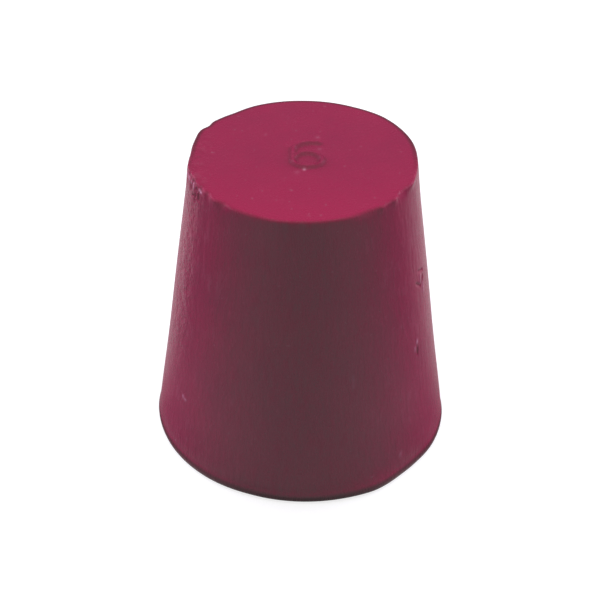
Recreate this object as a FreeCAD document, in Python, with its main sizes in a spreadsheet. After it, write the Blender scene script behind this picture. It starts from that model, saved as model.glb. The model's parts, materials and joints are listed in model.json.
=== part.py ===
import FreeCAD, Part
import math
import os
import Sketcher

# A solid rubber stopper for the neck of a laboratory flask, as a parametric FreeCAD document.
# One moulding: a tapered plug that stands on its wide end, with a raised size numeral on top.
# Millimetres. The origin is the centre of the wide end, on the surface it stands on. +Z is up.

# Driving dimensions: alias, value and what it is.
DIMENSIONS = [
    ("wide_diameter", 24.0, "across the lip at the wide end"),
    ("narrow_diameter", 17.5, "where the taper would meet the rim's plane"),
    ("rim_level", 25.4, "height of the narrow end's rim over the wide end"),
    ("foot_round", 0.3, "radius where the lip turns into the wide end"),
    ("lip_level", 0.8, "height of the lip's upright band"),
    ("lip_run_out", 0.7, "height over which the lip's shoulder runs out into the taper"),
    ("lip_projection", 0.12, "how far the lip stands proud of the taper"),
    ("rim_round", 0.45, "radius of the narrow end's outer edge"),
    ("dish_depth", 0.12, "depth of the narrow end's face below its rim"),
    ("dish_slope_run", 0.9, "width of the upturned band just inside the rim"),
    ("numeral_tall", 4.15, "from the bottom of the bowl to the top of the hook"),
    ("numeral_slimness", 0.6145, "width of the numeral over its height"),
    ("numeral_stroke", 0.5, "width of the numeral's line"),
    ("numeral_relief", 0.4, "how far the numeral stands up from the face"),
    ("numeral_round", 0.12, "radius along the numeral's edges, at its top and its foot"),
    ("round_share", 0.4, "most of a wall, a line or a notch that an edge's radius may take"),
    ("numeral_hook_end", 35.0, "where the hook stops, in degrees above the +X direction"),
    ("numeral_shift_x", 0.33, "numeral's centre from the axis, to the reader's right"),
    ("numeral_shift_y", 0.5, "numeral's centre from the axis, towards the numeral's top"),
]

# Values that follow from the ones above: alias, formula and what it is.
DERIVED = [
    ("numeral_width", "=numeral_tall * numeral_slimness", "across the bowl of the numeral"),
    ("numeral_notch",
     "=numeral_tall - numeral_width - sqrt(numeral_stroke * (numeral_width - numeral_stroke))",
     "straight inner side of the stem, from the bowl up to the hook"),
    ("numeral_edge",
     "=min(numeral_round; round_share * min(numeral_relief; numeral_stroke; numeral_notch))",
     "radius that the numeral's edges get"),
]

START, END, CENTRE = 1, 2, 3      # the three named points of a sketch edge
ROOT_POINT = (-1, 1)              # the sketch's own origin
NEAR = 1e-4                       # two heights closer than this are the same


def make_sheet(doc):
    """The spreadsheet that holds every driving dimension and what is derived from them."""
    sheet = doc.addObject("Spreadsheet::Sheet", "Dimensions")
    for row, (alias, value, meaning) in enumerate(DIMENSIONS + DERIVED, start=1):
        sheet.set(f"A{row}", meaning)
        sheet.set(f"B{row}", str(value))
        sheet.setAlias(f"B{row}", alias)
    doc.recompute()
    return sheet


def add_sketch(body, name, plane_role):
    """A sketch on one of the body's own origin planes."""
    planes = [f for f in body.Origin.OriginFeatures if f.Role == plane_role]
    sketch = body.newObject("Sketcher::SketchObject", name)
    sketch.AttachmentSupport = [(planes[0], "")]
    sketch.MapMode = "FlatFace"
    return sketch


def bind(sketch, kind, geometry, name, formula, value):
    """Add a dimension to a sketch and tie it to the sheet."""
    index = sketch.addConstraint(Sketcher.Constraint(kind, *geometry, value))
    sketch.renameConstraint(index, name)
    sketch.setExpression(f"Constraints.{name}", formula)


def point(x, y):
    return FreeCAD.Vector(x, y, 0)


def line(start, end):
    return Part.LineSegment(point(*start), point(*end))


def arc(centre, radius, first, last):
    """A counter-clockwise arc between two angles in degrees."""
    circle = Part.Circle(point(*centre), FreeCAD.Vector(0, 0, 1), radius)
    return Part.ArcOfCircle(circle, math.radians(first), math.radians(last))


def draw_profile(sketch, sheet):
    """Half of the stopper's section: radius across, height up."""
    wide = sheet.wide_diameter / 2
    narrow = sheet.narrow_diameter / 2
    waist = wide - sheet.lip_projection
    crest = narrow - sheet.rim_round
    dish_edge = crest - sheet.dish_slope_run
    foot = sheet.foot_round
    lip_top = sheet.lip_level + sheet.lip_run_out
    rim = sheet.rim_level
    floor = rim - sheet.dish_depth
    slope_radius = (sheet.dish_slope_run ** 2 + sheet.dish_depth ** 2) / (2 * sheet.dish_depth)
    slope_angle = math.degrees(math.asin(sheet.dish_slope_run / slope_radius))
    lean = math.degrees(math.atan((waist - narrow) / (rim - lip_top)))

    wide_end = sketch.addGeometry(line((0, 0), (wide - foot, 0)))
    underside = sketch.addGeometry(arc((wide - foot, foot), foot, -90, 0))
    lip = sketch.addGeometry(line((wide, foot), (wide, sheet.lip_level)))
    shoulder = sketch.addGeometry(line((wide, sheet.lip_level), (waist, lip_top)))
    taper = sketch.addGeometry(line((waist, lip_top), (narrow, rim - sheet.rim_round)))
    rim_edge = sketch.addGeometry(arc((crest, rim - sheet.rim_round), sheet.rim_round, lean, 90))
    slope = sketch.addGeometry(arc((dish_edge, floor + slope_radius), slope_radius,
                                   -90, slope_angle - 90))
    face = sketch.addGeometry(line((dish_edge, floor), (0, floor)))
    axis = sketch.addGeometry(line((0, floor), (0, 0)))
    corner = sketch.addGeometry(Part.Point(point(narrow, rim)), True)

    add = sketch.addConstraint
    chain = [(wide_end, END, underside, START), (lip, END, shoulder, START),
             (shoulder, END, taper, START), (rim_edge, END, slope, END),
             (slope, START, face, START), (face, END, axis, START),
             (axis, END, wide_end, START), (wide_end, START, *ROOT_POINT)]
    for link in chain:
        add(Sketcher.Constraint("Coincident", *link))
    for link in [(underside, END, lip, START), (taper, END, rim_edge, START)]:
        add(Sketcher.Constraint("Tangent", *link))
    for level in [(wide_end,), (face,)]:
        add(Sketcher.Constraint("Horizontal", *level))
    upright = [(lip,), (axis,), (underside, CENTRE, wide_end, END),
               (rim_edge, CENTRE, rim_edge, END), (slope, CENTRE, slope, START)]
    for plumb in upright:
        add(Sketcher.Constraint("Vertical", *plumb))
    add(Sketcher.Constraint("PointOnObject", corner, START, taper))

    def across(name, edge, end, formula, value):
        bind(sketch, "DistanceX", (*ROOT_POINT, edge, end), name, formula, value)

    def up(name, edge, end, formula, value):
        bind(sketch, "DistanceY", (*ROOT_POINT, edge, end), name, formula, value)

    across("wide_radius", shoulder, START, "Dimensions.wide_diameter / 2", wide)
    across("waist_radius", taper, START,
           "Dimensions.wide_diameter / 2 - Dimensions.lip_projection", waist)
    across("narrow_radius", corner, START, "Dimensions.narrow_diameter / 2", narrow)
    up("lip_level", shoulder, START, "Dimensions.lip_level", sheet.lip_level)
    up("lip_top", taper, START, "Dimensions.lip_level + Dimensions.lip_run_out", lip_top)
    up("corner_level", corner, START, "Dimensions.rim_level", rim)
    up("rim_level", rim_edge, END, "Dimensions.rim_level", rim)
    up("face_level", face, END, "Dimensions.rim_level - Dimensions.dish_depth", floor)
    bind(sketch, "Radius", (underside,), "foot_round", "Dimensions.foot_round", foot)
    bind(sketch, "Radius", (rim_edge,), "rim_round", "Dimensions.rim_round", sheet.rim_round)
    bind(sketch, "DistanceX", (face, START, rim_edge, END), "dish_slope_run",
         "Dimensions.dish_slope_run", sheet.dish_slope_run)


def draw_numeral(sketch, sheet):
    """The figure 6: a ring for the bowl, a straight stem on its left and a hook over the top."""
    outer = sheet.numeral_width / 2
    inner = outer - sheet.numeral_stroke
    middle_x = sheet.numeral_shift_x
    bowl_y = sheet.numeral_shift_y - sheet.numeral_tall / 2 + outer
    hook_y = sheet.numeral_shift_y + sheet.numeral_tall / 2 - outer
    left, inside = middle_x - outer, middle_x - inner
    meet = math.degrees(math.acos(inner / outer))
    meet_y = bowl_y + math.sqrt(outer ** 2 - inner ** 2)
    stop = sheet.numeral_hook_end
    cap = sheet.numeral_stroke / 2
    cap_x = middle_x + (inner + cap) * math.cos(math.radians(stop))
    cap_y = hook_y + (inner + cap) * math.sin(math.radians(stop))

    bowl = sketch.addGeometry(arc((middle_x, bowl_y), outer, -180, 180 - meet))
    stem_right = sketch.addGeometry(line((inside, meet_y), (inside, hook_y)))
    hook_inside = sketch.addGeometry(arc((middle_x, hook_y), inner, stop, 180))
    hook_cap = sketch.addGeometry(arc((cap_x, cap_y), cap, stop - 180, stop))
    hook_outside = sketch.addGeometry(arc((middle_x, hook_y), outer, stop, 180))
    stem_left = sketch.addGeometry(line((left, hook_y), (left, bowl_y)))
    hole = sketch.addGeometry(Part.Circle(point(middle_x, bowl_y), FreeCAD.Vector(0, 0, 1), inner))
    spoke = sketch.addGeometry(line((middle_x, hook_y), (cap_x, cap_y)), True)

    add = sketch.addConstraint
    chain = [(bowl, END, stem_right, START), (stem_left, END, bowl, START),
             (hole, CENTRE, bowl, CENTRE), (hook_outside, CENTRE, hook_inside, CENTRE),
             (spoke, START, hook_inside, CENTRE), (spoke, END, hook_cap, CENTRE)]
    for link in chain:
        add(Sketcher.Constraint("Coincident", *link))
    smooth = [(stem_right, END, hook_inside, END), (hook_outside, END, stem_left, START),
              (hook_inside, START, hook_cap, START), (hook_cap, END, hook_outside, START)]
    for link in smooth:
        add(Sketcher.Constraint("Tangent", *link))
    add(Sketcher.Constraint("Vertical", stem_left))
    add(Sketcher.Constraint("Vertical", stem_right))
    add(Sketcher.Constraint("Horizontal", bowl, CENTRE, bowl, START))
    add(Sketcher.Constraint("Vertical", bowl, CENTRE, hook_inside, CENTRE))
    add(Sketcher.Constraint("Equal", hole, hook_inside))

    bind(sketch, "Radius", (bowl,), "bowl_outer", "Dimensions.numeral_width / 2", outer)
    bind(sketch, "Radius", (hole,), "bowl_inner",
         "Dimensions.numeral_width / 2 - Dimensions.numeral_stroke", inner)
    bind(sketch, "DistanceY", (bowl, CENTRE, hook_inside, CENTRE), "stem_run",
         "Dimensions.numeral_tall - Dimensions.numeral_width", hook_y - bowl_y)
    bind(sketch, "DistanceX", (*ROOT_POINT, bowl, CENTRE), "shift_x",
         "Dimensions.numeral_shift_x", middle_x)
    bind(sketch, "DistanceY", (*ROOT_POINT, bowl, CENTRE), "bowl_level",
         "Dimensions.numeral_shift_y - (Dimensions.numeral_tall - Dimensions.numeral_width) / 2",
         bowl_y)
    bind(sketch, "Angle", (spoke,), "hook_end", "Dimensions.numeral_hook_end * 1 deg",
         math.radians(stop))


def edges_at(shape, level, reach):
    """Names of the edges that lie flat at one height, no further out than reach."""
    names = []
    for number, edge in enumerate(shape.Edges, start=1):
        box = edge.BoundBox
        flat = abs(box.ZMin - level) < NEAR and abs(box.ZMax - level) < NEAR
        if flat and max(box.XMax, -box.XMin, box.YMax, -box.YMin) < reach:
            names.append(f"Edge{number}")
    return names


def round_edges(body, name, base, level, reach):
    """A fillet along every edge of the numeral at one height."""
    fillet = body.newObject("PartDesign::Fillet", name)
    fillet.Base = (base, edges_at(base.Shape, level, reach))
    fillet.setExpression("Radius", "Dimensions.numeral_edge * 1 mm")
    body.Document.recompute()
    return fillet


def make_stopper(doc, sheet):
    """The whole stopper: the turned plug with the numeral standing on its narrow end."""
    body = doc.addObject("PartDesign::Body", "rubber_stopper")
    body.Label = "rubber_stopper"

    profile = add_sketch(body, "profile", "XZ_Plane")
    draw_profile(profile, sheet)
    plug = body.newObject("PartDesign::Revolution", "plug")
    plug.Profile = profile
    plug.ReferenceAxis = (profile, ["V_Axis"])
    plug.Angle = 360.0

    figure = add_sketch(body, "figure", "XY_Plane")
    draw_numeral(figure, sheet)
    figure.setExpression("AttachmentOffset.Base.z",
                         "(Dimensions.rim_level - Dimensions.dish_depth) * 1 mm")
    numeral = body.newObject("PartDesign::Pad", "numeral")
    numeral.Profile = figure
    numeral.setExpression("Length", "Dimensions.numeral_relief * 1 mm")
    doc.recompute()
    if numeral.Shape.Volume <= plug.Shape.Volume:
        raise RuntimeError("the numeral adds nothing to the plug")

    face_level = sheet.rim_level - sheet.dish_depth
    face_radius = sheet.narrow_diameter / 2 - sheet.rim_round - sheet.dish_slope_run
    top_edges = round_edges(body, "numeral_top", numeral, face_level + sheet.numeral_relief,
                            face_radius)
    round_edges(body, "numeral_foot", top_edges, face_level, face_radius)

    body.Placement = FreeCAD.Placement()
    doc.recompute()
    return body


def check(doc, parts):
    """Stop if any object failed to build or any sub-part isn't one sound solid."""
    for item in doc.Objects:
        if "Invalid" in item.State or "Error" in item.State:
            raise RuntimeError(f"{item.Name} failed: {item.State}")
    for part in parts:
        shape = part.Shape
        if shape.isNull() or not shape.isValid() or len(shape.Solids) != 1:
            raise RuntimeError(f"{part.Label} isn't one sound solid")


def write_parts(parts):
    os.makedirs("parts", exist_ok=True)
    for part in parts:
        part.Shape.exportStep(f"parts/{part.Label}.step")
        box = part.Shape.optimalBoundingBox(False)
        print(f"{part.Label}: {part.Shape.Volume:.2f} mm3,"
              f" {box.XLength:.2f} x {box.YLength:.2f} x {box.ZLength:.2f} mm")


def main():
    doc = FreeCAD.newDocument("rubber_stopper")
    sheet = make_sheet(doc)
    parts = [make_stopper(doc, sheet)]
    check(doc, parts)
    write_parts(parts)


main()
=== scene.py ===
import json
import math

import bpy
import numpy as np
from mathutils import Matrix, Vector


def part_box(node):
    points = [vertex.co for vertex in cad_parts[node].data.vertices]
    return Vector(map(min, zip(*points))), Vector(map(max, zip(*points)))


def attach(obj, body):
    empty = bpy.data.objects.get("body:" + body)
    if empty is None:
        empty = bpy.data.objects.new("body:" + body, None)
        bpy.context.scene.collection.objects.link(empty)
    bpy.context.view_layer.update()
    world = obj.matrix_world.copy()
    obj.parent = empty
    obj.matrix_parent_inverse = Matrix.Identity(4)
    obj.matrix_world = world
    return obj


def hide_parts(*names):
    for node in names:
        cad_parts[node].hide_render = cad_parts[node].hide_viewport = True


# A solid red rubber stopper on its wide end: the moulded surface with its wear, the rubber and the
# studio. Metres, in the CAD model's frame: the origin is the centre of the wide end and +Z is up.
# Azimuths are degrees round the axis from the front (-Y) towards +X.

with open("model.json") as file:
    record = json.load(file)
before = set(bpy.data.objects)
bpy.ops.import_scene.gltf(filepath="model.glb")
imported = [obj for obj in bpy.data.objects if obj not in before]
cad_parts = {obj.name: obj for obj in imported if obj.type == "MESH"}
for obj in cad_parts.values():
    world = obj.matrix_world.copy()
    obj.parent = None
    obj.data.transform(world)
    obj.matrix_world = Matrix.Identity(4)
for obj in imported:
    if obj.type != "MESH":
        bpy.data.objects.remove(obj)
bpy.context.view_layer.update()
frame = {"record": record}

MM = 0.001
NODE = "rubber_stopper"

# ---------------------------------------------------------------- sizes, from the CAD model

node_low, node_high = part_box(NODE)
mounts = {mount["name"]: mount for mount in frame["record"]["mounts"]}
WIDE = (node_high.x - node_low.x) / 2
RIM = mounts["neck_taper"]["pos_m"][2]
NUMERAL_TOP = node_high.z - 0.05 * MM   # its crest is worn a little
NARROW = 8.75 * MM                  # radius where the taper would meet the rim's plane
FACE = RIM - 0.03 * MM              # height of the middle of the shallow dish inside the rim
OVAL = 0.98                         # depth over width: the moulding is narrower front to back
TAPER = (WIDE - NARROW) / RIM       # how fast the side's radius grows downwards, about

# The foot: a rounded edge, a low lip that leans in a little below, and a run-out into the taper.
FOOT_ROUND = 0.42 * MM
LIP_LEAN = 3.0                      # degrees that the lip's band faces downwards
LIP_TOP = 0.60 * MM
LIP_PROUD = 0.13 * MM
SHOULDER_TOP = 1.10 * MM

# The narrow end.
RIM_ROUND = 0.24 * MM
DISH_RUN = 3.00 * MM                # width of the band that climbs to the rim

# The numeral: one stroke along a line, with soft flanks. Distances up the face are before the squash.
BOWL_X = 0.33 * MM
BOWL_Y = -0.43 * MM
BOWL_RADIUS = 1.12 * MM             # to the middle of the stroke
SPINE = 1.70 * MM                   # from the bowl's middle up to where the hook begins
HOOK_WIDE = 1.60 * MM               # half sizes of the ellipse that the hook follows
HOOK_TALL = 1.12 * MM
HOOK_END = 78.0                     # degrees above +X where the hook stops
NUMERAL_SQUASH = 0.86               # the whole figure is this much lower than drawn
STROKE = 0.30 * MM
FLANK = 0.55 * MM                   # width of the slope from the top of a stroke to the face
NUMERAL_PAINTED_SHADE = 0.85                 # how dark the painted shade at the feet of the strokes' left and right flanks is

# The mesh: a fine rectangular patch round the numeral, spread into a ring that turns into the side.
PATCH_MIDDLE_X = 0.33 * MM
PATCH_MIDDLE_Y = 0.36 * MM
PATCH_X = 1.75 * MM                 # half sizes of the patch
PATCH_Y = 2.60 * MM
PATCH_CELLS_X = 84
PATCH_CELLS_Y = 126
COLUMNS = 2 * (PATCH_CELLS_X + PATCH_CELLS_Y)
HUB = 0.2 * WIDE                    # radius of the underside's innermost ring
BASE_ROWS = 5
FOOT_ROWS = 8
LIP_ROWS = 2
SHOULDER_ROWS = 6
SIDE_ROWS = 112
RIM_ROWS = 9
DISH_ROWS = 12
SPREAD_RINGS = 14
ARC_POINTS = 49                     # along the numeral's hook, and round its bowl
CROWD_SAMPLES = 1441                # places at which the fineness of uneven steps is added up

# Where the mesh is finer: from, to, times as fine. Heights are in millimetres. Azimuths are in
# degrees and run once round from the patch's corner, about -34, to 326.
FINE_AZIMUTHS = [(-34, 56, 1.8), (56, 79, 4.0), (276, 307, 4.0), (307, 327, 1.8)]
FINE_HEIGHTS = [
    (1.1, 2.0, 2.0), (5.7, 6.5, 2.5), (9.8, 11.8, 2.5), (15.2, 18.0, 5.0), (23.4, 25.2, 5.0),
]

# ---------------------------------------------------------------- wear and moulding marks

# How far the rim and the foot stand out from a true oval: azimuth in degrees, millimetres out.
RIM_WANDER = [
    (-93, -0.06), (-86, 0.10), (-80, 0.20), (-75, 0.16), (-60, 0.06), (-45, 0.10), (-15, 0.13),
    (15, 0.13), (45, 0.10), (60, 0.06), (75, 0.11), (93, 0.07), (106, 0.15), (135, 0.14), (152, -0.08),
    (180, -0.17), (207, -0.10), (220, -0.18), (229, 0.00), (235, 0.14), (239, -0.08), (242, 0.22),
    (246, 0.26), (252, 0.10), (260, 0.01),
]
FOOT_WANDER = [
    (-97, 0.00), (-88, 0.00), (-70, -0.07), (-35, -0.07), (-20, -0.12), (-5, -0.04), (8, 0.03),
    (18, 0.09), (25, 0.16), (30, 0.22), (36, 0.12), (44, -0.06), (54, -0.09), (64, 0.00), (84, 0.00),
    (95, -0.06),
]
SMOOTHING = (-2, -1, 0, 1, 2)       # degrees either side that such a curve is averaged over
RIM_REACH = 2.2 * MM                # over which the rim's wander fades down the side
FOOT_REACH = 0.8 * MM               # and the foot's wander fades up it

# Nicks and burrs in the rim's front half: azimuth, half width in degrees, millimetres out.
RIM_NICKS = [
    (-75, 4, -0.08), (-68, 2, -0.08), (-60, 2, -0.12), (-54, 2, -0.10), (-48, 3, 0.09),
    (-42, 3, -0.13), (-12, 6, 0.07), (23, 4, 0.04), (32, 6, -0.13), (42, 2, 0.10), (51, 2, 0.12),
    (58, 5, -0.14), (68, 5, 0.15),
]
NICK_REACH = 0.5 * MM               # over which they fade down the side

HOLLOW = 0.05 * MM                  # depth of the side's waist
HOLLOW_LEVEL = 8.5 * MM
HOLLOW_HALF = 4.5 * MM              # half its height
WEAR_FROM = 0.7 * NARROW            # the wear sets in outside this radius
WEAR_BAND = 0.2 * NARROW            # over a band this wide

NICK_PAINTED_SHADE = 0.45                    # how far the bottoms of the small marks are darkened with painted shade
RIM_PAINTED_SHADE = 1.00                     # how far the rear of the rim's edge is darkened with painted shade
RIM_PAINTED_SHADE_TURN = 2.0                 # how sharply it sets in round the two sides
RIM_PAINTED_SHADE_ROWS = 4                   # rows of the mesh below the edge over which it sets in

# Nicks, flecks and scratches as short strokes: azimuth in degrees and height in millimetres of both
# ends, then half width and how far out in millimetres, then how pale.
MARKS = [
    (67.9, 17.27, 73.5, 16.85, 0.09, -0.10, 0.0),     # the crescent nick on the right
    (72.8, 16.30, 71.1, 15.82, 0.09, -0.13, 0.0),
    (68.6, 15.85, 64.8, 16.42, 0.11, -0.09, 0.0),
    (69.4, 16.75, 68.7, 16.20, 0.12, 0.05, 0.4),      # its raised tongue
    (71.8, 15.77, 72.0, 14.98, 0.14, 0.04, 0.4),
    (60.8, 11.48, 60.7, 11.35, 0.11, 0.05, 1.0),      # a tick below it
    (61.0, 10.85, 60.5, 10.24, 0.08, -0.12, 0.0),
    (58.6, 11.10, 58.6, 10.80, 0.10, 0.02, 0.4),
    (-57.9, 6.19, -57.5, 6.12, 0.09, 0.03, 1.0),      # a scratch low on the left
    (-57.5, 6.12, -55.4, 6.04, 0.07, 0.02, 0.6),
    (-29.8, 8.55, -29.7, 8.55, 0.14, 0.02, 0.7),      # two flecks
    (43.8, 2.32, 43.9, 2.32, 0.13, 0.02, 0.35),
    (22.7, 10.34, 22.7, 11.52, 0.09, 0.01, 0.20),     # a faint line up the front
    (-79.3, 24.96, -75.0, 24.90, 0.08, 0.04, 0.6),    # the torn edge under the rim
    (-75.0, 24.95, -74.3, 24.75, 0.09, 0.05, 1.0),
    (-71.2, 24.94, -70.6, 24.80, 0.08, 0.04, 0.6),
    (-68.4, 25.00, -67.6, 24.70, 0.09, 0.05, 0.8),
    (-61.6, 25.03, -59.8, 24.92, 0.09, 0.05, 1.0),
    (-88.0, 25.16, -66.0, 25.14, 0.09, -0.05, 0.0),   # a dark line above it
    (-82.6, 24.46, -76.9, 24.41, 0.10, -0.08, 0.0),   # and dark pits below it
    (-71.8, 24.60, -71.1, 24.30, 0.09, -0.11, 0.0),
    (-64.9, 24.90, -63.7, 24.75, 0.09, -0.10, 0.0),
    (-68.1, 24.05, -64.9, 23.74, 0.10, -0.11, 0.0),
    (-62.2, 24.60, -61.4, 24.20, 0.09, -0.11, 0.0),
    (-65.5, 24.35, -65.2, 24.10, 0.09, -0.09, 0.0),
]

# Pale specks and a faint smear on the narrow end: x, y and radius in millimetres, how pale.
SPECKS = [
    (1.12, 2.85, 0.14, 0.22),
    (1.25, 1.20, 0.14, 0.15),
    (0.09, -1.70, 0.12, 0.80),
    (-0.45, -2.05, 0.20, 0.10),
]

# ---------------------------------------------------------------- colours

RUBBER_RED = (0.305, 0.003, 0.052, 1)
RUBBER_DEEP = (0.270, 0.003, 0.050, 1)
RUBBER_PAINTED_LIGHT = (0.350, 0.003, 0.056, 1)     # painted light: the narrow end, lighter towards its front
BLOOM = (0.42, 0.15, 0.20, 1)               # dust, specks and scuffs
SCAR = (0.66, 0.26, 0.36, 1)                # bruised rubber in the nicks and flecks
PAINTED_SHADE_COLOUR = (0.120, 0.003, 0.022, 1)            # painted shade: the foot's rounded edge, the rear of the rim's edge, the dents and the feet of the numeral's flanks

# ---------------------------------------------------------------- the rubber's surface

# Noises: scale, detail and roughness. Each _FIT is the values at which a noise counts as none and full.
CLOUDS = (260.0, 4.0, 0.6)          # in the pigment
CLOUDS_FIT = (0.3, 0.7)
PATCHES = (420.0, 2.0, 0.55)        # where dust lies
PATCHES_FIT = (0.45, 0.65)
DRAG = (2600.0, 3.0, 0.6)           # drag marks
DRAG_DUST_FIT = (0.45, 0.75)
DRAG_SHEEN_FIT = (0.3, 0.7)
DRAG_SQUEEZE = 0.22                 # their scale upwards, beside their scale across
SPECKLES = (2900.0, 1.0, 0.4)
SPECKLES_FIT = (0.74, 0.80)
PITS = (6500.0, 2.0, 0.6)
SCUFFS = (1250.0, 3.0, 0.65)        # on the left flank
SCUFFS_FIT = (0.5, 0.7)

DUST_SHARE = 0.16                   # how far each turns the rubber to the colour of bloom
SPECKLE_SHARE = 0.35
SCUFF_SHARE = 0.18
RELIEF = 0.04 * MM                  # depth of the drag marks
PIT_RELIEF = 0.35                   # and of the others, as multiples of it
SCUFF_RELIEF = 5.5
SMOOTH = 0.20                       # roughness between the drag marks and in them
ROUGH = 0.32
REFRACTION = 1.5

FADE_FROM = RIM - 0.5 * MM          # dust, drag marks and pits begin to fade at this height
FADE_TO = RIM - 0.1 * MM
FADE_LEFT = 0.25                    # the share of them that is left on the narrow end
SCUFF_FROM = 0.80                   # the flank's scuffs begin this share of the radius to the left
SCUFF_FULL = 0.93
SCUFF_LOW = 6.0 * MM                # and at this height, to be full at twice the height
FOOT_PAINTED_SHADE_FULL = 0.62 * MM              # the foot's painted shade is full up to here
FOOT_PAINTED_SHADE_GONE = 0.84 * MM              # and gone above here,
FOOT_PAINTED_SHADE_CLIMB = 0.015                 # and both rise by this share of the distance to either side

# ---------------------------------------------------------------- studio

# Lamps: azimuth and elevation in degrees, distance, width and height in metres, watts, and the share
# of blue beside red and green.
LAMPS = {
    "overhead": (180, 84, 0.30, 0.24, 0.24, 0.568, 1.00),
    "left_rear": (-122, 12, 0.30, 0.15, 0.24, 0.90, 1.30),
    "right_rear": (122, 12, 0.30, 0.15, 0.24, 0.96, 1.30),
    "left_side": (-94, 12, 0.30, 0.15, 0.24, 0.34, 1.30),
    "right_side": (94, 12, 0.30, 0.15, 0.24, 0.25, 1.30),
}
FLOOR_HALF = 0.28                   # the floor ends short of the lamps
FLOOR_BOUNCE = 0.22                 # the floor's share in lighting the object
FLOOR_PAPER = 0.35                  # the seen floor: a part that takes shadow and a part that glows
FLOOR_GLOW = 0.80

# The floor as the rubber's gloss shows it. Each _TURN is the directions between which one brightness
# gives way to the next: 1 is straight in front of the object, 0 beside it and -1 behind it.
GLOSS_SIDES = 0.33
GLOSS_FRONT = 1.00
GLOSS_FRONT_TURN = (0.0, 0.8)
GLOSS_REAR = 0.38                   # added to the sides' brightness
GLOSS_REAR_TURN = (-0.2, -0.95)
SHADE_REACH = 9.0 * MM              # how far out the floor beside the object is shaded
SHADE_SIDES = 0.30                  # the share of the brightness left beside the foot
SHADE_FRONT_TURN = (0.4, 1.0)
SHADE_REAR_TURN = (0.1, -0.3)
CONTACT_REACH = 1.6 * MM            # a line round the foot in the gloss: a painted shadow in front and painted light at the sides
CONTACT_FRONT = 0.45
CONTACT_SIDES = 1.45
CONTACT_TURN = (0.4, 1.0)

# The studio as the gloss shows it: round the camera, behind the object and low behind it. It changes
# as the direction turns to the back, which is 1 there, and as it rises, which is 1 straight up.
SKY_FRONT = 0.97
SKY_BACK = 0.44
SKY_LOW = 0.18
SKY_TURN = (0.0, 0.85)
SKY_RISE = (0.05, 0.45)

CAMERA_DISTANCE = 149.4 * MM
CAMERA_ELEVATION = 37.58
CAMERA_ROLL = 0.60
CAMERA_LENS = 110.3
CAMERA_AIM = Vector((-0.130 * MM, 0, 11.560 * MM))


# ---------------------------------------------------------------- the stopper's mesh

def straight(start, end, steps):
    """Points from start towards end, without end."""
    return [(start[0] + (end[0] - start[0]) * i / steps, start[1] + (end[1] - start[1]) * i / steps)
            for i in range(steps)]


def crowded(start, end, count, finer):
    """Steps from start to end, closer together inside the (from, to, times as fine) stretches."""
    places = np.linspace(start, end, CROWD_SAMPLES)
    density = np.ones_like(places)
    for low, high, times in finer:
        density[(places > low) & (places < high)] = times
    reached = np.concatenate([[0.0], np.cumsum((density[1:] + density[:-1]) / 2)])
    return np.interp(np.linspace(0, reached[-1], count + 1), reached, places)


def rounded(centre, radius, first, last, steps):
    """Points along an arc between two angles in degrees, without the last."""
    angles = [math.radians(first + (last - first) * i / steps) for i in range(steps)]
    return [(centre[0] + radius * math.cos(a), centre[1] + radius * math.sin(a)) for a in angles]


def section():
    """Radius and height from the underside round the foot, up the taper and over the rim to the dish."""
    sink = math.tan(math.radians(LIP_LEAN)) * (LIP_TOP - FOOT_ROUND)
    foot_centre = (WIDE - sink - FOOT_ROUND, FOOT_ROUND)
    waist = (WIDE - LIP_PROUD, SHOULDER_TOP)
    lean = math.degrees(math.atan((waist[0] - NARROW) / (RIM - waist[1])))
    crest = NARROW - RIM_ROUND
    rim_start = (crest + RIM_ROUND * math.cos(math.radians(lean)),
                 RIM - RIM_ROUND + RIM_ROUND * math.sin(math.radians(lean)))
    points = straight((HUB, 0.0), (foot_centre[0], 0.0), BASE_ROWS)
    points += rounded(foot_centre, FOOT_ROUND, -90, -LIP_LEAN, FOOT_ROWS)
    points += straight((WIDE - sink, FOOT_ROUND), (WIDE, LIP_TOP), LIP_ROWS)
    points += straight((WIDE, LIP_TOP), waist, SHOULDER_ROWS)
    for height in crowded(waist[1] / MM, rim_start[1] / MM, SIDE_ROWS, FINE_HEIGHTS)[:-1]:
        share = (height * MM - waist[1]) / (rim_start[1] - waist[1])
        points.append((waist[0] + (rim_start[0] - waist[0]) * share, height * MM))
    points += rounded((crest, RIM - RIM_ROUND), RIM_ROUND, lean, 90, RIM_ROWS)
    for i in range(DISH_ROWS + 1):
        share = i / DISH_ROWS
        points.append((crest - DISH_RUN * share, FACE + (RIM - FACE) * (1 - share) ** 2))
    return np.array(points)


def turned(azimuth, centre):
    """Degrees from centre round to azimuth, from -180 to 180."""
    return (azimuth - centre + 180) % 360 - 180


def wander(azimuth, knots):
    """A curve round the stopper through (azimuth, millimetres) knots, with its corners smoothed."""
    turns, outs = zip(*knots)
    total = sum(np.interp(azimuth + shift, turns, outs, period=360) for shift in SMOOTHING)
    return total / len(SMOOTHING)


def wear(azimuth, height):
    """How far the surface stands out from the turned section, apart from the small marks."""
    out = wander(azimuth, RIM_WANDER) * np.exp(-((RIM - height) / RIM_REACH) ** 2)
    nicks = sum(reach * np.exp(-(turned(azimuth, place) / half) ** 2)
                for place, half, reach in RIM_NICKS)
    out += nicks * np.exp(-((RIM - height) / NICK_REACH) ** 2)
    out += wander(azimuth, FOOT_WANDER) * np.exp(-(np.maximum(height - LIP_TOP, 0) / FOOT_REACH) ** 2)
    out *= MM
    out -= HOLLOW * np.exp(-((height - HOLLOW_LEVEL) / HOLLOW_HALF) ** 2)
    return out


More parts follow.
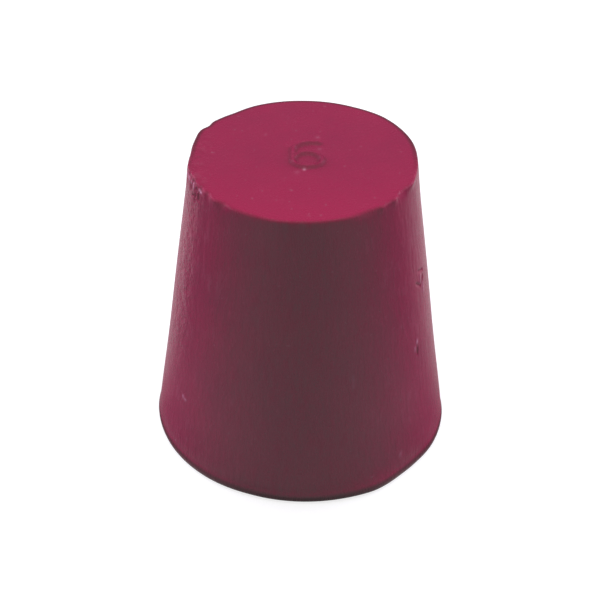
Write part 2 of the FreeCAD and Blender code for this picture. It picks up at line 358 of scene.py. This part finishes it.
def marks(azimuth, height, radius):
    """How far the small marks stand out, how pale they are, and how much painted shade their dents get."""
    out, pale, dirty = np.zeros((3,) + height.shape)
    for turn_1, level_1, turn_2, level_2, half_width, reach, whiten in MARKS:
        scale = np.radians(1) * radius / MM
        across = turned(azimuth, turn_1) * scale
        along = height / MM - level_1
        run, rise = (turn_2 - turn_1) * scale, level_2 - level_1
        share = np.clip((across * run + along * rise) / (run * run + rise * rise), 0, 1)
        away = np.hypot(across - run * share, along - rise * share)
        spot = np.exp(-(away / half_width) ** 2)
        out += reach * MM * spot
        pale = np.maximum(pale, whiten * spot)
        # painted shade in the bottoms of the dents
        if reach < 0:
            dirty = np.maximum(dirty, NICK_PAINTED_SHADE * spot)
    return out, pale, dirty


def arc(centre_x, centre_y, wide, tall, first, last):
    """Points along an ellipse between two angles in degrees."""
    angles = np.radians(np.linspace(first, last, ARC_POINTS))
    return list(zip(centre_x + wide * np.cos(angles), centre_y + tall * np.sin(angles)))


def numeral_height(x, y):
    """Height of the figure 6 over the face: its hook, then down the spine and once round the bowl."""
    line = arc(HOOK_WIDE - BOWL_RADIUS, SPINE, HOOK_WIDE, HOOK_TALL, HOOK_END, 180)
    line += arc(0, 0, BOWL_RADIUS, BOWL_RADIUS, 180, 540)
    across, up = x - BOWL_X, (y - BOWL_Y) / NUMERAL_SQUASH
    off = np.full_like(x, np.inf)
    for (start_x, start_y), (end_x, end_y) in zip(line, line[1:]):
        run, rise = end_x - start_x, end_y - start_y
        share = ((across - start_x) * run + (up - start_y) * rise) / (run * run + rise * rise)
        share = np.clip(share, 0, 1)
        off = np.minimum(off, np.hypot(across - start_x - run * share, up - start_y - rise * share))
    ramp = np.clip((STROKE / 2 + FLANK / 2 - off) / FLANK, 0, 1)
    return (NUMERAL_TOP - FACE) * ramp * ramp * (3 - 2 * ramp)


def patch_edge():
    """Index pairs round the patch's edge, anticlockwise from its south-west corner."""
    nx, ny = PATCH_CELLS_X, PATCH_CELLS_Y
    south = [(i, 0) for i in range(nx)]
    east = [(nx, j) for j in range(ny)]
    north = [(i, ny) for i in range(nx, 0, -1)]
    west = [(0, j) for j in range(ny, 0, -1)]
    return south + east + north + west


def numeral_patch():
    """The fine grid of points under the numeral, how pale each point is and how much painted shade it
    gets.
    """
    grid_x = PATCH_MIDDLE_X + np.linspace(-PATCH_X, PATCH_X, PATCH_CELLS_X + 1)
    grid_y = PATCH_MIDDLE_Y + np.linspace(-PATCH_Y, PATCH_Y, PATCH_CELLS_Y + 1)
    x, y = np.meshgrid(grid_x, grid_y, indexing="ij")
    pale = np.zeros_like(x)
    for speck_x, speck_y, reach, whiten in SPECKS:
        spot = np.exp(-(np.hypot(x - speck_x * MM, y - speck_y * MM) / (reach * MM)) ** 2)
        pale = np.maximum(pale, whiten * spot)
    height = numeral_height(x, y)
    slope = np.abs(np.gradient(height, axis=0)) / (grid_x[1] - grid_x[0])
    steepest = 1.5 * (NUMERAL_TOP - FACE) / FLANK       # of the S-shaped flank, halfway up
    # painted shade on the strokes' left and right flanks, strongest at their feet
    dirty = NUMERAL_PAINTED_SHADE * slope / steepest * (1 - height / (NUMERAL_TOP - FACE))
    return np.stack([x, y, FACE + height], axis=-1), pale, dirty


def rim_painted_shade(azimuth):
    """The painted shade on each point of the turned rings: the rim's rounded edge, on the stopper's rear
    half.
    """
    row_count = azimuth.shape[0]
    start = row_count - DISH_ROWS - 1 - RIM_ROWS
    end = start + RIM_ROWS
    stretch = [start - RIM_PAINTED_SHADE_ROWS, start + 1, end, end + 1]
    ring = np.interp(np.arange(row_count), stretch, [0, RIM_PAINTED_SHADE, RIM_PAINTED_SHADE, 0])
    return ring[:, None] * np.clip(0.5 - RIM_PAINTED_SHADE_TURN * np.cos(np.radians(azimuth)), 0, 1)


def turned_rings():
    """The worn, slightly oval rings from the underside to the dish, how pale they are and how much painted
    shade they get.
    """
    rows = section()
    corner = math.degrees(math.atan2(-PATCH_Y, -PATCH_X)) + 90
    even = corner + 360 * np.arange(COLUMNS) / COLUMNS
    fine = crowded(corner, corner + 360, COLUMNS, FINE_AZIMUTHS)[:-1]
    settled = np.zeros((len(rows), 1))
    settled[-DISH_ROWS - 1:, 0] = np.linspace(0, 1, DISH_ROWS + 1)
    azimuth = fine * (1 - settled) + even * settled
    angles = np.radians(azimuth - 90)
    radius = np.repeat(rows[:, :1], COLUMNS, axis=1)
    height = np.repeat(rows[:, 1:], COLUMNS, axis=1)
    out, pale, dirty = marks(azimuth, height, radius)
    outer = np.clip((radius - WEAR_FROM) / WEAR_BAND, 0, 1)
    radius = radius + (wear(azimuth, height) + out) * outer
    rings = np.stack([radius * np.cos(angles), OVAL * radius * np.sin(angles), height], axis=-1)
    return rings, pale, np.maximum(dirty, rim_painted_shade(azimuth))


def spread_rings(last_ring, edge_xy):
    """Flat rings that lead from the dish's last ring to the patch's rectangular edge."""
    rings = []
    for share in np.linspace(0, 1, SPREAD_RINGS + 1)[1:-1]:
        xy = last_ring[:, :2] * (1 - share) + edge_xy * share
        rings.append(np.column_stack([xy, np.full(COLUMNS, FACE)]))
    return np.array(rings)


def ring_faces(ring_count):
    """Quads between neighbouring rings."""
    faces = []
    for row in range(ring_count - 1):
        low, high = row * COLUMNS, (row + 1) * COLUMNS
        for k in range(COLUMNS):
            after = (k + 1) % COLUMNS
            faces.append((low + k, low + after, high + after, high + k))
    return faces


def stopper_mesh():
    """The whole closed surface: vertices, faces, how pale each vertex is and how much painted shade it
    gets.
    """
    patch, patch_pale, patch_painted_shade = numeral_patch()
    edge = patch_edge()
    lathe, pale, dirty = turned_rings()
    flat = spread_rings(lathe[-1], np.array([patch[i, j, :2] for i, j in edge]))
    rings = np.concatenate([lathe, flat])
    patch_start = rings.shape[0] * COLUMNS
    centre = patch_start + patch.shape[0] * patch.shape[1]
    vertices = np.concatenate([rings.reshape(-1, 3), patch.reshape(-1, 3), [[0.0, 0.0, 0.0]]])
    between = np.zeros(flat.shape[0] * COLUMNS)
    paleness = np.concatenate([pale.ravel(), between, patch_pale.ravel(), [0.0]])
    painted_shade_values = np.concatenate([dirty.ravel(), between, patch_painted_shade.ravel(), [0.0]])

    def cell(i, j):
        return patch_start + i * (PATCH_CELLS_Y + 1) + j

    faces = [(centre, (k + 1) % COLUMNS, k) for k in range(COLUMNS)]
    faces += ring_faces(rings.shape[0])
    last = (rings.shape[0] - 1) * COLUMNS
    inner = [cell(i, j) for i, j in edge]
    for k in range(COLUMNS):
        after = (k + 1) % COLUMNS
        faces.append((last + k, last + after, inner[after], inner[k]))
    for i in range(PATCH_CELLS_X):
        for j in range(PATCH_CELLS_Y):
            faces.append((cell(i, j), cell(i + 1, j), cell(i + 1, j + 1), cell(i, j + 1)))
    return vertices, faces, paleness, painted_shade_values


# ---------------------------------------------------------------- node helpers

class Nodes:
    """A material's or world's node tree, with short calls to add and link nodes."""

    def __init__(self, owner):
        owner.use_nodes = True
        self.tree = owner.node_tree
        self.tree.nodes.clear()

    def add(self, kind, inputs=None, **settings):
        """A new node with its settings, and its inputs linked or set."""
        node = self.tree.nodes.new(kind)
        for name, value in settings.items():
            setattr(node, name, value)
        for name, value in (inputs or {}).items():
            self.feed(node.inputs[name], value)
        return node

    def feed(self, socket, value):
        if isinstance(value, bpy.types.NodeSocket):
            self.tree.links.new(value, socket)
        else:
            socket.default_value = value

    def math(self, operation, first, second=0.0):
        node = self.add("ShaderNodeMath", operation=operation)
        self.feed(node.inputs[0], first)
        self.feed(node.inputs[1], second)
        return node.outputs[0]

    def noise(self, vector, scale, detail, roughness):
        node = self.add("ShaderNodeTexNoise", {"Vector": vector, "Scale": scale, "Detail": detail,
                                               "Roughness": roughness})
        return node.outputs["Fac"]

    def fit(self, value, low, high, to_low=0.0, to_high=1.0):
        """The value moved from low..high to to_low..to_high, and held at those ends."""
        node = self.add("ShaderNodeMapRange", {"Value": value, "From Min": low, "From Max": high,
                                               "To Min": to_low, "To Max": to_high})
        return node.outputs["Result"]

    def blend(self, factor, first, second):
        node = self.add("ShaderNodeMix", data_type="RGBA")
        self.feed(node.inputs["Factor"], factor)
        self.feed(node.inputs["A"], first)
        self.feed(node.inputs["B"], second)
        return node.outputs["Result"]


# ---------------------------------------------------------------- materials

def pigment(n, place, apart, side):
    """The bare rubber's colour: slightly cloudy, and lighter on the narrow end towards its front, which is
    painted light.
    """
    colour = n.blend(n.fit(n.noise(place, *CLOUDS), *CLOUDS_FIT), RUBBER_DEEP, RUBBER_RED)
    # painted light: the narrow end turns lighter towards its front
    painted_light = n.math("MULTIPLY", n.fit(apart["Y"], 0.0, -NARROW), n.fit(side, 1.0, FADE_LEFT))
    return n.blend(painted_light, colour, RUBBER_PAINTED_LIGHT)


def drag_marks(n, place):
    """Fine marks drawn out up the side."""
    squeezed = n.add("ShaderNodeMapping", {"Vector": place, "Scale": (1.0, 1.0, DRAG_SQUEEZE)})
    return n.noise(squeezed.outputs[0], *DRAG)


def left_flank(n, apart):
    """How far a place lies in the scuffed part of the side: its far left, above the foot."""
    radius = n.math("ADD", n.math("MULTIPLY", n.math("SUBTRACT", RIM, apart["Z"]), TAPER), NARROW)
    leftmost = n.fit(n.math("DIVIDE", apart["X"], radius), -SCUFF_FROM, -SCUFF_FULL)
    return n.math("MULTIPLY", leftmost, n.fit(apart["Z"], SCUFF_LOW, 2 * SCUFF_LOW))


def bloom(n, place, side, drag, scuffs, flank):
    """How far dust in the drag marks, scuffs and specks turn the rubber to the colour of bloom."""
    dust = n.math("MULTIPLY", n.fit(drag, *DRAG_DUST_FIT), n.fit(n.noise(place, *PATCHES), *PATCHES_FIT))
    dust = n.math("MULTIPLY", n.math("MULTIPLY", dust, side), DUST_SHARE)
    scuffed = n.math("MULTIPLY", n.fit(scuffs, *SCUFFS_FIT), n.math("MULTIPLY", flank, SCUFF_SHARE))
    specks = n.math("MULTIPLY", n.fit(n.noise(place, *SPECKLES), *SPECKLES_FIT), SPECKLE_SHARE)
    return n.math("MAXIMUM", n.math("MAXIMUM", dust, scuffed), specks)


def painted_shade_mask(n, apart):
    """How much painted shade a place gets: the foot's edge, up to a line that climbs to the sides, and the
    mesh's own.
    """
    climb = n.math("MULTIPLY", n.math("ABSOLUTE", apart["X"]), FOOT_PAINTED_SHADE_CLIMB)
    foot = n.fit(n.math("SUBTRACT", apart["Z"], climb), FOOT_PAINTED_SHADE_FULL, FOOT_PAINTED_SHADE_GONE, 1.0, 0.0)
    return n.math("MAXIMUM", foot, n.add("ShaderNodeAttribute", attribute_name="dirty").outputs["Fac"])


def relief(n, place, side, drag, scuffs, flank):
    """The surface's slope: pits and drag marks, and deeper scuffs on the left flank."""
    pits = n.math("MULTIPLY", n.noise(place, *PITS), PIT_RELIEF)
    depth = n.math("MULTIPLY", n.math("ADD", pits, drag), side)
    depth = n.math("ADD", depth, n.math("MULTIPLY", n.math("MULTIPLY", scuffs, flank), SCUFF_RELIEF))
    return n.add("ShaderNodeBump", {"Height": depth, "Strength": 1.0, "Distance": RELIEF}).outputs[0]


def rubber():
    """Moulded red rubber: cloudy pigment with painted light on the narrow end's front, a dusty bloom,
    scars, painted shade, and fine relief.
    """
    material = bpy.data.materials.new("moulded_rubber")
    n = Nodes(material)
    place = n.add("ShaderNodeTexCoord").outputs["Object"]
    apart = n.add("ShaderNodeSeparateXYZ", {0: place}).outputs
    side = n.fit(apart["Z"], FADE_FROM, FADE_TO, 1.0, FADE_LEFT)
    drag = drag_marks(n, place)
    scuffs = n.noise(place, *SCUFFS)
    flank = left_flank(n, apart)
    colour = n.blend(bloom(n, place, side, drag, scuffs, flank), pigment(n, place, apart, side), BLOOM)
    scarred = n.add("ShaderNodeAttribute", attribute_name="pale").outputs["Fac"]
    # painted shade darkens the foot's edge, the rear of the rim's edge, the dents and the feet of the
    # numeral's flanks
    colour = n.blend(painted_shade_mask(n, apart), n.blend(scarred, colour, SCAR), PAINTED_SHADE_COLOUR)
    shader = n.add("ShaderNodeBsdfPrincipled", {
        "Base Color": colour,
        "Roughness": n.fit(drag, *DRAG_SHEEN_FIT, SMOOTH, ROUGH),
        "Normal": relief(n, place, side, drag, scuffs, flank),
        "IOR": REFRACTION,
    })
    output = n.add("ShaderNodeOutputMaterial")
    n.feed(output.inputs["Surface"], shader.outputs[0])
    return material


def white_for_camera(n, white, reflected, lighting):
    """One shader for what the camera sees, one for the gloss and one for what lights the object."""
    path = n.add("ShaderNodeLightPath")
    seen = n.math("MAXIMUM", path.outputs["Is Camera Ray"], path.outputs["Is Transmission Ray"])
    inner = n.add("ShaderNodeMixShader", {"Fac": path.outputs["Is Glossy Ray"]})
    n.feed(inner.inputs[1], lighting)
    n.feed(inner.inputs[2], reflected)
    outer = n.add("ShaderNodeMixShader", {"Fac": seen})
    n.feed(outer.inputs[1], inner.outputs[0])
    n.feed(outer.inputs[2], white)
    return outer.outputs[0]


def floor_gloss(n):
    """The floor in the gloss: white in front of the object, dimmer beside it and dimmer still by the foot,
    a painted shadow; a line round the foot is a painted shadow in front and painted light at the sides.
    """
    place = n.add("ShaderNodeTexCoord").outputs["Object"]
    aside = n.add("ShaderNodeVectorMath", {0: place}, operation="NORMALIZE").outputs[0]
    forward = n.math("MULTIPLY", n.add("ShaderNodeSeparateXYZ", {0: aside}).outputs["Y"], -1.0)
    bright = n.math("ADD", n.fit(forward, *GLOSS_FRONT_TURN, GLOSS_SIDES, GLOSS_FRONT),
                    n.fit(forward, *GLOSS_REAR_TURN, 0.0, GLOSS_REAR))
    left = n.math("ADD", n.fit(forward, *SHADE_FRONT_TURN, SHADE_SIDES, 1.0),
                  n.fit(forward, *SHADE_REAR_TURN, 0.0, 1.0 - SHADE_SIDES))
    away = n.add("ShaderNodeVectorMath", {0: place}, operation="LENGTH").outputs["Value"]
    clear = n.fit(away, WIDE, WIDE + SHADE_REACH)
    share = n.math("ADD", left, n.math("MULTIPLY", clear, n.math("SUBTRACT", 1.0, left)))
    contact = n.fit(forward, *CONTACT_TURN, CONTACT_SIDES, CONTACT_FRONT)
    share = n.math("MULTIPLY", share, n.fit(away, WIDE, WIDE + CONTACT_REACH, contact, 1.0))
    return n.add("ShaderNodeEmission", {"Strength": n.math("MULTIPLY", bright, share)})


def floor_material():
    """A white sweep that burns out to white and keeps only the contact shadow."""
    material = bpy.data.materials.new("white_sweep")
    material.cycles.emission_sampling = "NONE"
    n = Nodes(material)
    bounce = n.add("ShaderNodeBsdfDiffuse", {"Color": (FLOOR_BOUNCE,) * 3 + (1,)})
    paper = n.add("ShaderNodeBsdfDiffuse", {"Color": (FLOOR_PAPER,) * 3 + (1,)})
    glow = n.add("ShaderNodeEmission", {"Strength": FLOOR_GLOW})
    white = n.add("ShaderNodeAddShader")
    n.feed(white.inputs[0], paper.outputs[0])
    n.feed(white.inputs[1], glow.outputs[0])
    output = n.add("ShaderNodeOutputMaterial")
    n.feed(output.inputs["Surface"],
           white_for_camera(n, white.outputs[0], floor_gloss(n).outputs[0], bounce.outputs[0]))
    return material


def make_world():
    """White to the camera, brighter round it than behind the object in the gloss, and no light."""
    world = bpy.data.worlds.new("studio")
    world.cycles.sampling_method = "NONE"
    bpy.context.scene.world = world
    n = Nodes(world)
    toward = n.add("ShaderNodeSeparateXYZ", {0: n.add("ShaderNodeTexCoord").outputs["Generated"]}).outputs
    behind = n.fit(toward["Z"], *SKY_RISE, SKY_LOW, SKY_BACK)
    sky = n.fit(toward["Y"], *SKY_TURN, SKY_FRONT, behind)
    fill = n.add("ShaderNodeBackground", {"Color": (0, 0, 0, 1)})
    reflected = n.add("ShaderNodeBackground", {"Color": (1, 1, 1, 1), "Strength": sky})
    white = n.add("ShaderNodeBackground", {"Color": (1, 1, 1, 1)})
    output = n.add("ShaderNodeOutputWorld")
    n.feed(output.inputs["Surface"],
           white_for_camera(n, white.outputs[0], reflected.outputs[0], fill.outputs[0]))


# ---------------------------------------------------------------- pieces and studio

def link(name, data):
    """A new object in the scene that shows the given data."""
    piece = bpy.data.objects.new(name, data)
    bpy.context.collection.objects.link(piece)
    return piece


def make_stopper():
    """The stopper's mesh, which stands for the CAD model's one piece."""
    vertices, faces, paleness, painted_shade_values = stopper_mesh()
    mesh = bpy.data.meshes.new("stopper")
    mesh.from_pydata(vertices.tolist(), [], faces)
    mesh.shade_smooth()
    mesh.attributes.new("pale", "FLOAT", "POINT").data.foreach_set("value", paleness)
    mesh.attributes.new("dirty", "FLOAT", "POINT").data.foreach_set("value", painted_shade_values)
    mesh.materials.append(rubber())
    piece = link("stopper", mesh)
    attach(piece, "root")
    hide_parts(NODE)


def make_floor():
    """The square floor that the stopper stands on."""
    mesh = bpy.data.meshes.new("sweep")
    corners = [(x * FLOOR_HALF, y * FLOOR_HALF, 0) for x, y in ((-1, -1), (1, -1), (1, 1), (-1, 1))]
    mesh.from_pydata(corners, [], [(0, 1, 2, 3)])
    mesh.materials.append(floor_material())
    link("sweep", mesh)


def make_lamp(name, azimuth, elevation, distance, width, height, power, blue):
    """A rectangular softbox aimed at the middle of the stopper, kept out of its gloss."""
    lamp = bpy.data.lights.new(name, "AREA")
    lamp.shape = "RECTANGLE"
    lamp.size = width
    lamp.size_y = height
    lamp.energy = power
    lamp.color = (1, 1, blue)
    a, e = math.radians(azimuth), math.radians(elevation)
    away = Vector((math.sin(a) * math.cos(e), -math.cos(a) * math.cos(e), math.sin(e)))
    box = link(name, lamp)
    box.location = Vector((0, 0, RIM / 2)) + away * distance
    box.rotation_mode = "QUATERNION"
    box.rotation_quaternion = away.to_track_quat("Z", "Y")
    box.visible_glossy = False


def make_camera():
    """The camera that the photograph was taken from."""
    camera = bpy.data.cameras.new("camera")
    camera.lens = CAMERA_LENS
    camera.sensor_width = 36.0
    camera.clip_start = 0.01
    camera.clip_end = 10.0
    e = math.radians(CAMERA_ELEVATION)
    back = Vector((0, -math.cos(e), math.sin(e)))
    upright = back.to_track_quat("Z", "Y").to_matrix()
    roll = Matrix.Rotation(math.radians(CAMERA_ROLL), 3, "Z")
    holder = link("camera", camera)
    holder.rotation_mode = "QUATERNION"
    holder.rotation_quaternion = (upright @ roll).to_quaternion()
    holder.location = CAMERA_AIM + back * CAMERA_DISTANCE
    bpy.context.scene.camera = holder


make_stopper()
make_floor()
for lamp_name, lamp_settings in LAMPS.items():
    make_lamp(lamp_name, *lamp_settings)
make_world()
make_camera()
bpy.context.scene.view_settings.view_transform = "Standard"
